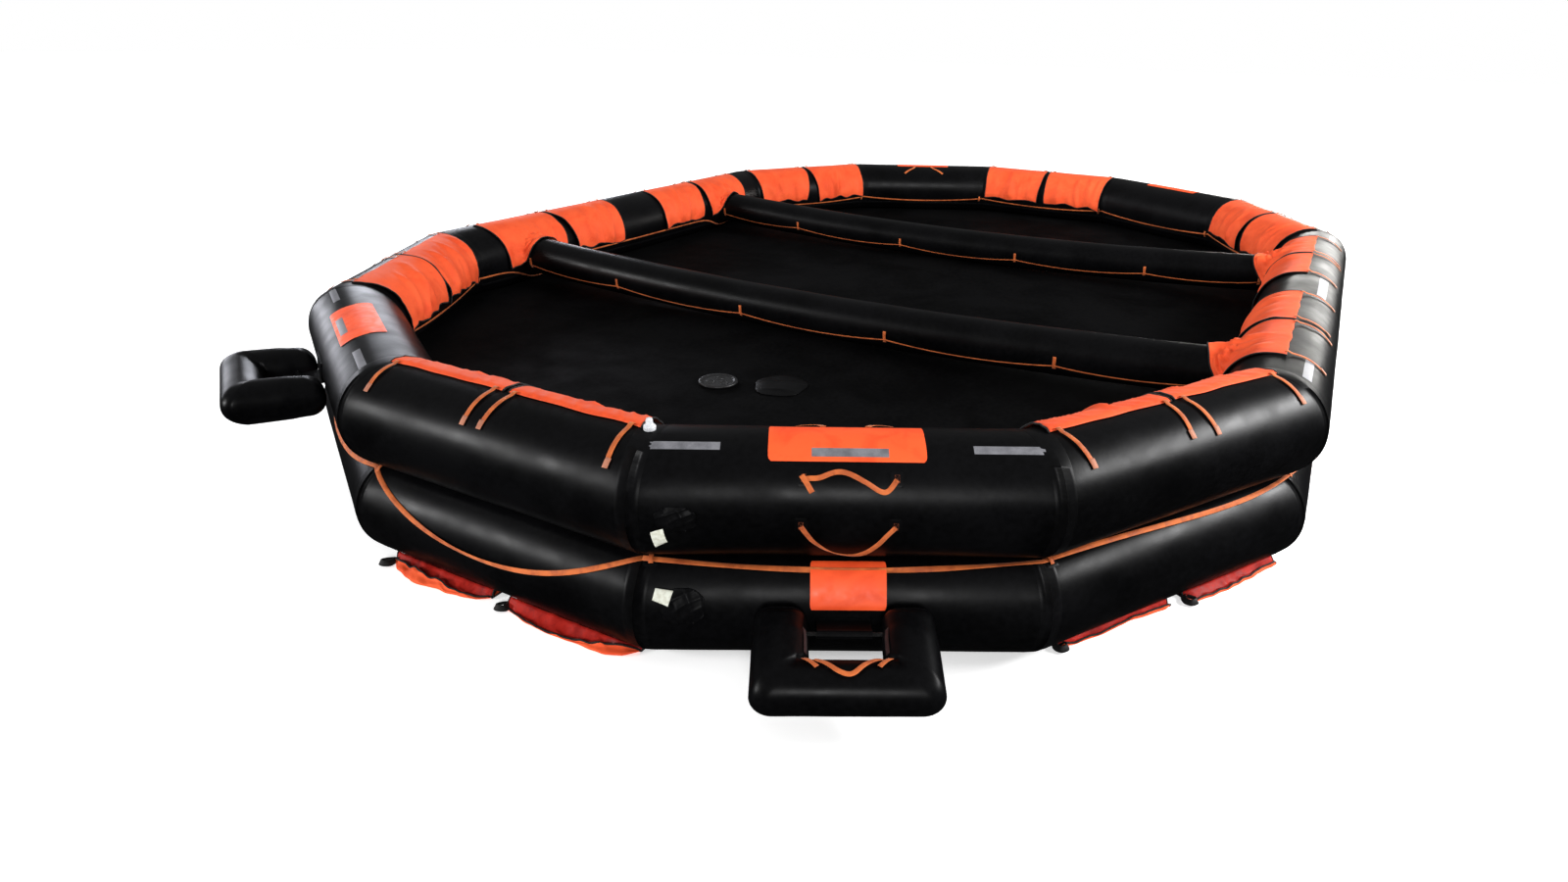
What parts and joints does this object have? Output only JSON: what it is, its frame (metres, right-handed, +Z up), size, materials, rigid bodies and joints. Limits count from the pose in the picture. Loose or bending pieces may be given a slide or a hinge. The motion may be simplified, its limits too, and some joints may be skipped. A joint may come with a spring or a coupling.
{
  "type": "inflatable life raft",
  "caption": "Open reversible inflatable life raft: stacked buoyancy tubes in a many-sided ring with a fabric floor, thwarts, water pockets, lifelines and hinged boarding ramps.",
  "frame": {"origin": "on the ground under the middle of the raft", "axes": "+X along the two long sides, +Z up"},
  "size_m": [9.2412, 6.4366, 1.0611],
  "materials": {
    "black_fabric": "satin coated fabric",
    "floor_fabric": "matt coated fabric",
    "orange_fabric": "light woven nylon",
    "orange_webbing": "woven webbing",
    "orange_label": "blank coated label",
    "white_plastic": "moulded"
  },
  "bodies": {
    "raft": {"upper_tube": "black_fabric", "lower_tube": "black_fabric", "floor": "floor_fabric", "thwart_front": "black_fabric", "thwart_rear": "black_fabric", "thwart_line_front": "orange_webbing", "thwart_line_rear": "orange_webbing", "upper_pockets_2": "orange_fabric", "upper_pockets_3a": "orange_fabric", "upper_pockets_3b": "orange_fabric", "upper_pockets_4": "orange_fabric", "upper_pockets_6": "orange_fabric", "upper_pockets_8": "orange_fabric", "upper_pockets_9a": "orange_fabric", "upper_pockets_9b": "orange_fabric", "upper_pockets_10": "orange_fabric", "upper_pockets_12": "orange_fabric", "lower_pockets_2": "orange_fabric", "lower_pockets_3a": "orange_fabric", "lower_pockets_3b": "orange_fabric", "lower_pockets_4": "orange_fabric", "lower_pockets_6": "orange_fabric", "lower_pockets_8": "orange_fabric", "lower_pockets_9a": "orange_fabric", "lower_pockets_9b": "orange_fabric", "lower_pockets_10": "orange_fabric", "lower_pockets_12": "orange_fabric", "outer_lifeline": "orange_webbing", "inner_lifeline": "orange_webbing", "label_1": "orange_label", "label_5": "orange_label", "label_7": "orange_label", "label_11": "orange_label", "boarding_flap_1": "orange_label", "boarding_flap_5": "orange_label", "boarding_flap_7": "orange_label", "boarding_flap_11": "orange_label", "handle_over_1": "orange_webbing", "handle_over_7": "orange_webbing", "handle_under_1": "orange_webbing", "handle_under_7": "orange_webbing", "hinge_tab_1": "black_fabric", "hinge_tab_5": "black_fabric", "hinge_tab_7": "black_fabric", "hinge_tab_11": "black_fabric", "valve_cover_upper": "black_fabric", "valve_cover_lower": "black_fabric", "floor_drain": "floor_fabric", "floor_patch": "floor_fabric", "light": "white_plastic"},
    "ramp_1": {"ramp_1": "black_fabric", "ramp_handle_1": "orange_webbing"},
    "ramp_5": {"ramp_5": "black_fabric", "ramp_handle_5": "orange_webbing"},
    "ramp_7": {"ramp_7": "black_fabric", "ramp_handle_7": "orange_webbing"},
    "ramp_11": {"ramp_11": "black_fabric", "ramp_handle_11": "orange_webbing"}
  },
  "joints": [
    {"name": "ramp_1_hinge", "type": "hinge", "parent": "raft", "child": "ramp_1", "pos_m": [-4.19288, -1.66443, 0.29409], "axis": [-0.5, 0.866, 0], "range_deg": [-28, 75]},
    {"name": "ramp_7_hinge", "type": "hinge", "parent": "raft", "child": "ramp_7", "pos_m": [4.19288, 1.66443, 0.29409], "axis": [0.5, -0.866, 0], "range_deg": [-28, 75]},
    {"name": "ramp_5_hinge", "type": "hinge", "parent": "raft", "child": "ramp_5", "pos_m": [4.19288, -1.66443, 0.70251], "axis": [-0.5, -0.866, 0], "range_deg": [-65, 60]},
    {"name": "ramp_11_hinge", "type": "hinge", "parent": "raft", "child": "ramp_11", "pos_m": [-4.19288, 1.66443, 0.70251], "axis": [0.5, 0.866, 0], "range_deg": [-65, 60]}
  ]
}
